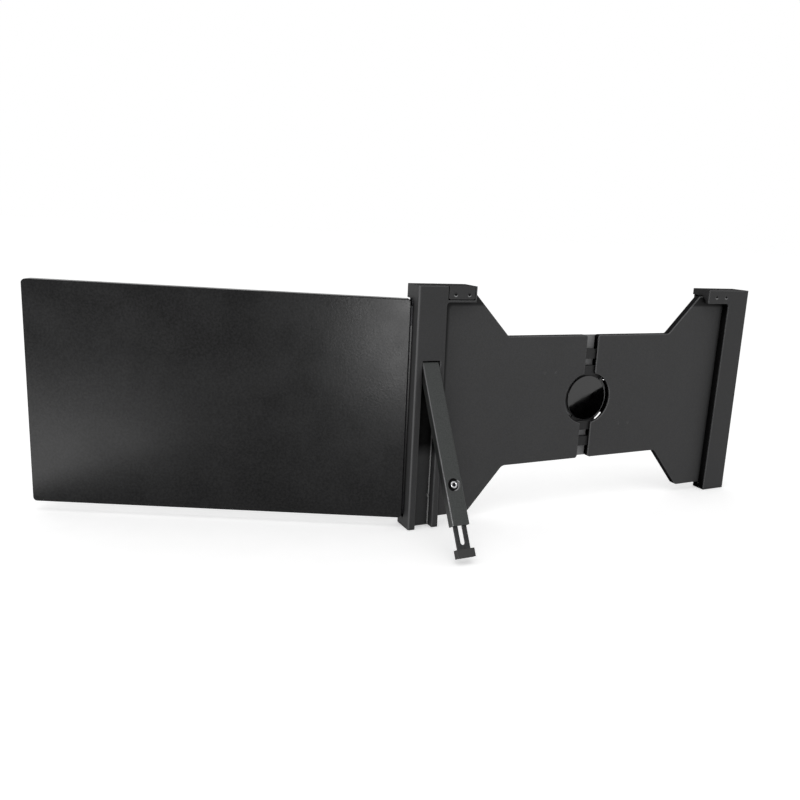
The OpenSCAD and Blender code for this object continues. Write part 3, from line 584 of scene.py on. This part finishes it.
# Only the heads' tops are painted bright, most of all their lower halves: partly rubbed wear,
# partly a painted highlight.
DOWN = (0.0, 0.0, -1.0)
screw_black = plated("screw_dark", (0.26, 0.26, 0.263), rough=0.34)
head_top = screw_black.span(screw_black.distance(BACK), 0.0, 1.0, 0.01615, 0.01640)
lower_half = screw_black.span(screw_black.distance(DOWN), 0.12, 1.0, 0.0004, 0.0014)
head_stain = screw_black.span(screw_black.noise(0.0012), 0.7, 1.0)
screw_black.surface({"Base Color": screw_black.blend(
    head_top * lower_half * head_stain, (0.004, 0.004, 0.004), (0.26, 0.26, 0.263))})

for side, half, body in halves:
    screw_set(half + "_clip_screw_set", body, "screw_dark", screw_black, AIM_BACK,
              [(x, hook_back, clip_screw_z) for x in clip_screw_x[half]],
              half + "_clip_screws",
              head_radius=1.75, neck_radius=0.95, head_depth=1.0, shank_radius=0.95,
              shank_length=11.0, thread_pitch=0.5, recess_radius=1.05, recess_depth=0.95,
              cross_recess=False)


# ---- Lid channels ------------------------------------------------------------
# A satin ABS rail with a lip lines the front of each column and takes the side edge of the
# lid. Three screws go through it into the plate's tongues, and a rubber strip lines its end.
channel_black = moulded("channel_plastic", (0.012, 0.012, 0.013), (0.020, 0.020, 0.021),
                        grain=0.0009, depth=0.00002, rough=0.42, edge=0.0003)
channel_black.cover("left_channel", "right_channel")
pad_rubber.cover("left_channel_pad", "right_channel_pad")

channel_seat = -0.2
tongue_x = 168.5
tongue_z = (-40.0, hub_z - 10.0, -180.0)
for side, half, body in halves:
    screw_set(half + "_channel_screw_set", body, "screw_steel", screw_zinc, AIM_FRONT,
              [(side * tongue_x, channel_seat, z) for z in tongue_z], half + "_channel_screws",
              head_radius=2.2, neck_radius=2.2, head_depth=0.7, shank_radius=1.15,
              shank_length=6.9, thread_pitch=0.6, recess_radius=1.3, recess_depth=0.5,
              cross_recess=True)


# ---- Kickstand leg -----------------------------------------------------------
# The leg is a U section of bead-blasted aluminium with a black anodised skin, which turns on a
# ground steel pin across the left column and folds flush into it.
leg_anodised = Finish("leg_alloy", Metallic=1.0)
blast = leg_anodised.noise(0.0007, detail=3.0, roughness=0.6)
handled = leg_anodised.noise(0.022)
leg_back = (0.0, -0.8660, 0.5)
leg_edge = leg_anodised.soft_edge(0.0009)
# The leg's upper left edges are painted lighter, a painted highlight.
leg_highlight = leg_anodised.upper_left_highlight(leg_back, leg_edge, 0.2)
leg_skin = leg_anodised.blend(leg_anodised.span(blast, 0.0, 1.0),
                              (0.046, 0.048, 0.047), (0.066, 0.069, 0.068))
leg_anodised.surface({
    "Base Color": leg_anodised.blend(leg_highlight, leg_skin, (0.115, 0.115, 0.117)),
    "Roughness": leg_anodised.span(handled, 0.38, 0.46) - leg_highlight * 0.08,
    "Normal": leg_anodised.bump(blast, 0.00003, leg_edge),
})
leg_anodised.cover("leg")

pin_bright = plated("pin_steel", (0.60, 0.60, 0.62), rough=0.16)
pin_bright.cover("leg_pin", "hinge_pins")


# ---- Foot clamp --------------------------------------------------------------
# A chromed socket screw with a domed head draws a steel bar against the strap from inside the
# leg and holds the foot at the length it was pulled to. A black cupped ring lies under its head.
bar_zinc = plated("bar_steel", (0.52, 0.52, 0.54), rough=0.30)
bar_zinc.cover("clamp_bar")

lean = math.radians(30.0)
clamp_out = Vector((0.0, -math.cos(lean), math.sin(lean)))
clamp_across = Vector((1.0, 0.0, 0.0))
clamp_along = clamp_out.cross(clamp_across)
clamp_seat = Vector((-175.85, -68.665, -150.336))


def turned(name, node, body, finish, hollow, profile):
    """A piece turned round the clamp's axis, in place of a CAD node.

    Each row of the profile is a radius, a height over the leg's face, and how far the circle
    becomes the hexagon of the key.
    """
    around = 48
    sixth = math.pi / 3.0
    points = []
    for radius, height, six in profile:
        for k in range(around):
            angle = 2.0 * math.pi * k / around
            off_flat = (angle + sixth / 2.0) % sixth - sixth / 2.0
            flat_side = math.cos(sixth / 2.0) / math.cos(off_flat)
            arm = radius * (1.0 + six * (flat_side - 1.0))
            spoke = clamp_across * math.cos(angle) + clamp_along * math.sin(angle)
            points.append((clamp_seat + clamp_out * height + spoke * arm) * mm)
    rows = len(profile)
    faces = []
    for row in range(rows if hollow else rows - 1):
        low = row * around
        high = (row + 1) % rows * around
        for k in range(around):
            after = (k + 1) % around
            faces.append((low + k, low + after, high + after, high + k))
    if not hollow:
        for height, row in ((profile[0][1], 0), (profile[-1][1], rows - 1)):
            points.append((clamp_seat + clamp_out * height) * mm)
            pole = len(points) - 1
            faces += [(pole, row * around + k, row * around + (k + 1) % around)
                      for k in range(around)]
    mesh = bpy.data.meshes.new(name)
    mesh.from_pydata(points, [], faces)
    lathe = bmesh.new()
    lathe.from_mesh(mesh)
    bmesh.ops.recalc_face_normals(lathe, faces=lathe.faces)
    for face in lathe.faces:
        face.smooth = len(face.verts) == 4
    lathe.to_mesh(mesh)
    lathe.free()
    mesh.set_sharp_from_angle(angle=math.radians(35.0))
    mesh.materials.append(finish.material)
    made = bpy.data.objects.new(name, mesh)
    scene.collection.objects.link(made)
    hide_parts(node)
    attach(made, body)


# The ring's cupped face is painted bright where it looks to the upper left, a painted highlight.
washer_black = moulded("washer_plastic", (0.002, 0.002, 0.002), (0.004, 0.004, 0.004),
                       grain=0.0012, depth=0.00001, rough=0.50, edge=0.0002,
                       Specular_IOR_Level=0.06)
lip_highlight = washer_black.looking((-0.85, 0.0, 0.45), 0.30, 0.55)
lip_mottle = washer_black.span(washer_black.noise(0.0006), 0.8, 1.0)
washer_black.surface({"Base Color": washer_black.blend(
    lip_highlight * lip_mottle, (0.003, 0.003, 0.003), (0.30, 0.30, 0.302))})
turned("clamp_cup_washer", "clamp_washer", "kickstand", washer_black,
       hollow=True,
       profile=[(1.95, -1.4, 0.0), (5.4, -1.4, 0.0), (5.4, -0.1, 0.0), (5.2, -0.06, 0.0),
                (4.35, -0.8, 0.0), (1.95, -0.8, 0.0)])

# The screw's chrome is painted dark below the edge of its dome and in its recess, a painted shade.
chrome = plated("clamp_chrome", (0.50, 0.50, 0.51), rough=0.12)
leg_face = clamp_out.dot(clamp_seat) * mm
dome = chrome.span(chrome.distance(tuple(clamp_out)), 0.0, 1.0,
                   leg_face + 0.00035, leg_face + 0.0006)
chrome_stain = chrome.span(chrome.noise(0.0012), 0.85, 1.0)
chrome.surface({"Base Color": chrome.blend(
    dome * chrome_stain, (0.012, 0.012, 0.012), (0.50, 0.50, 0.51))})
turned("clamp_socket_screw", "clamp_screw", "clamp", chrome,
       hollow=False,
       profile=[(1.5, -7.0, 0.0), (1.5, -0.75, 0.0), (3.05, -0.75, 0.0), (3.2, -0.6, 0.0),
                (3.2, 0.0, 0.0), (3.08, 0.3, 0.0), (2.8, 0.53, 0.0), (2.4, 0.68, 0.0),
                (2.05, 0.74, 0.0), (1.9, 0.68, 0.0), (1.78, 0.52, 1.0), (1.73, -0.3, 1.0)])


# ---- Foot --------------------------------------------------------------------
# A strap of satin nickel-plated steel with a slot and stamped teeth slides in the leg. Its
# end is moulded into a ribbed rubber foot.
strap_satin = plated("strap_steel", (0.046, 0.047, 0.048), rough=0.30)
strap_satin.cover("foot_strap")

foot_black = moulded("foot_rubber", (0.008, 0.008, 0.008), (0.018, 0.018, 0.018),
                     grain=0.0006, depth=0.00006, rough=0.66, edge=0.0006)
foot_black.cover("foot_pad")


# ---- Screen ------------------------------------------------------------------
# A shallow tray of fine-grained black ABS holds the panel behind a narrow glossy-edged bezel,
# and swings on two steel pins at the left column.
screen_black = moulded("screen_case", (0.0010, 0.0010, 0.0012), (0.0125, 0.0125, 0.0130),
                       grain=0.0019, depth=0.00009, rough=0.32, edge=0.0004,
                       Specular_IOR_Level=0.15)
screen_black.cover("rear_cover")

bezel_black = moulded("screen_bezel", (0.007, 0.007, 0.0075), (0.012, 0.012, 0.0125),
                      grain=0.0010, depth=0.00002, rough=0.36, edge=0.0003)
bezel_black.cover("bezel")

glass_matt = Finish("screen_glass", IOR=1.5)
sparkle = glass_matt.noise(0.00035)
glass_matt.surface({
    "Base Color": glass_matt.blend(glass_matt.span(sparkle, 0.0, 1.0),
                                   (0.0035, 0.0036, 0.0042), (0.0060, 0.0062, 0.0070)),
    "Roughness": glass_matt.span(glass_matt.noise(0.05), 0.26, 0.31),
    "Normal": glass_matt.bump(sparkle, 0.000004),
})
glass_matt.cover("cover_glass")

panel_black = moulded("panel_black", (0.006, 0.006, 0.007), (0.010, 0.010, 0.011),
                      grain=0.0020, depth=0.00001, rough=0.20, edge=0.0002)
panel_black.cover("lcd_panel")

light_guide = moulded("panel_white", (0.74, 0.75, 0.76), (0.80, 0.81, 0.82),
                      grain=0.0030, depth=0.00001, rough=0.30, edge=0.0002)
light_guide.cover("backlight")

frame_zinc = plated("frame_steel", (0.56, 0.57, 0.58), rough=0.34)
frame_zinc.cover("panel_frame")

hinge_plate = plated("hinge_steel", (0.016, 0.016, 0.017), rough=0.42)
hinge_plate.cover("hinge_leaves")


# ---- Screen electronics ------------------------------------------------------
# A small glass-fibre board with a green mask lies along the screen's lower edge. It bears two
# chip packages, three plated sockets that open downwards, and a switch behind each button.
board_mask = Finish("board_green")
cells_in_a_metre = 420.0
cells = board_mask.node(
    "ShaderNodeTexVoronoi", {"feature": "DISTANCE_TO_EDGE"},
    {"Vector": board_mask.place(), "Scale": cells_in_a_metre}, output="Distance")
tracks = board_mask.span(cells, 1.0, 0.0, 0.03, 0.09)
board_mask.surface({
    "Base Color": board_mask.blend(tracks, (0.010, 0.075, 0.030), (0.028, 0.150, 0.060)),
    "Roughness": board_mask.span(board_mask.noise(0.004), 0.24, 0.34),
    "Normal": board_mask.bump(tracks, 0.00003, board_mask.soft_edge(0.0001)),
})
board_mask.cover("mainboard")

socket_nickel = plated("socket_metal", (0.62, 0.61, 0.58), rough=0.20)
socket_nickel.cover("usb_sockets", "video_socket", "switches")

button_black = moulded("button_plastic", (0.012, 0.012, 0.0125), (0.019, 0.019, 0.020),
                       grain=0.0008, depth=0.00001, rough=0.30, edge=0.0003)
button_black.cover("power_button", "plus_button", "minus_button")


# ---- Studio ------------------------------------------------------------------
# A pale paper floor under a white cove. The daylight round the object is soft and even, with a
# wide lamp overhead. Two softboxes make the screen's soft highlights, a third lights the sides.
def of_background(net):
    """1 for the rays that see the white background, and 0 for those that light the object."""
    seen, mirrored, through = (
        net.node("ShaderNodeLightPath", output=ray)
        for ray in ("Is Camera Ray", "Is Glossy Ray", "Is Transmission Ray"))
    return seen.at_least(mirrored).at_least(through)


WHITE = (1.0, 1.0, 1.0)
world = bpy.data.worlds.new("cove")
world.use_nodes = True
scene.world = world
cove = Net(world.node_tree)
white = cove.node("ShaderNodeBackground", {}, {"Color": WHITE, "Strength": 1.0})
daylight = cove.node("ShaderNodeBackground", {}, {"Color": WHITE, "Strength": 0.72})
both = cove.node("ShaderNodeMixShader", {}, {0: of_background(cove), 1: daylight, 2: white})
cove.put(cove.nodes["World Output"].inputs["Surface"], both)

floor_z = -0.2085
floor_half = 14.0
floor_mesh = bpy.data.meshes.new("floor")
floor_mesh.from_pydata([(x * floor_half, y * floor_half, floor_z)
                        for x, y in ((-1, -1), (1, -1), (1, 1), (-1, 1))], [], [(0, 1, 2, 3)])
floor = bpy.data.objects.new("floor", floor_mesh)
scene.collection.objects.link(floor)
paper = Finish("floor_paper", Roughness=0.9, Specular_IOR_Level=0.0)
paper.surface({"Base Color": paper.blend(paper.span(paper.noise(0.02), 0.0, 1.0),
                                         (0.79, 0.79, 0.79), (0.81, 0.81, 0.81))})
floor_lift = 0.45
glow = paper.node("ShaderNodeEmission", {}, {
    "Color": WHITE, "Strength": of_background(paper) * floor_lift})
paper.show(paper.node("ShaderNodeAddShader", {}, {0: paper.coat, 1: glow}))
floor_mesh.materials.append(paper.material)


def softbox(name, middle, target, wide, high, level, matt=True, gloss=True):
    """A rectangular lamp aimed at a point, as bright as a surface of the given level."""
    lamp = bpy.data.lights.new(name, "AREA")
    lamp.shape = "RECTANGLE"
    lamp.size = wide
    lamp.size_y = high
    lamp.energy = level * math.pi * wide * high
    stand = bpy.data.objects.new(name, lamp)
    aim = Vector(target) - Vector(middle)
    stand.matrix_world = (Matrix.Translation(middle)
                          @ aim.to_track_quat("-Z", "Y").to_matrix().to_4x4())
    stand.visible_camera = False
    stand.visible_diffuse = matt
    stand.visible_glossy = gloss
    scene.collection.objects.link(stand)


softbox("near_softbox", middle=(-0.37, -0.36, -0.07), target=(-0.205, 0.01, -0.05),
        wide=0.10, high=0.17, level=20.0, matt=False)
softbox("left_softbox", middle=(-0.98, -0.30, -0.14), target=(-0.30, 0.02, -0.12),
        wide=0.30, high=0.12, level=6.0, gloss=False)
softbox("low_softbox", middle=(-0.72, 0.0, -0.204), target=(-0.72, 0.0, 1.0),
        wide=0.40, high=0.26, level=5.0, matt=False)
softbox("overhead", middle=(-0.5, -0.5, 1.7), target=(-0.1, 0.0, -0.1),
        wide=1.6, high=1.6, level=0.9)

# A black card stands on the floor to the right of the camera, where the gloss disc mirrors it.
card_left = 0.095
card_right = 0.225
card_y = -0.2
card_foot = -0.208
card_top = (-0.1744, -0.1142)
card_mesh = bpy.data.meshes.new("black_card")
card_mesh.from_pydata([(card_left, card_y, card_top[0]), (card_left, card_y, card_foot),
                       (card_right, card_y, card_foot), (card_right, card_y, card_top[1])],
                      [], [(0, 1, 2, 3)])
black_card = bpy.data.objects.new("black_card", card_mesh)
scene.collection.objects.link(black_card)
black_card.visible_camera = False
black_card.visible_diffuse = False
black_card.visible_shadow = False
felt = Finish("card_felt", Roughness=1.0, Specular_IOR_Level=0.0)
felt.surface({"Base Color": felt.blend(felt.span(felt.noise(0.004), 0.0, 1.0),
                                       (0.0, 0.0, 0.0), (0.002, 0.002, 0.002))})
card_mesh.materials.append(felt.material)
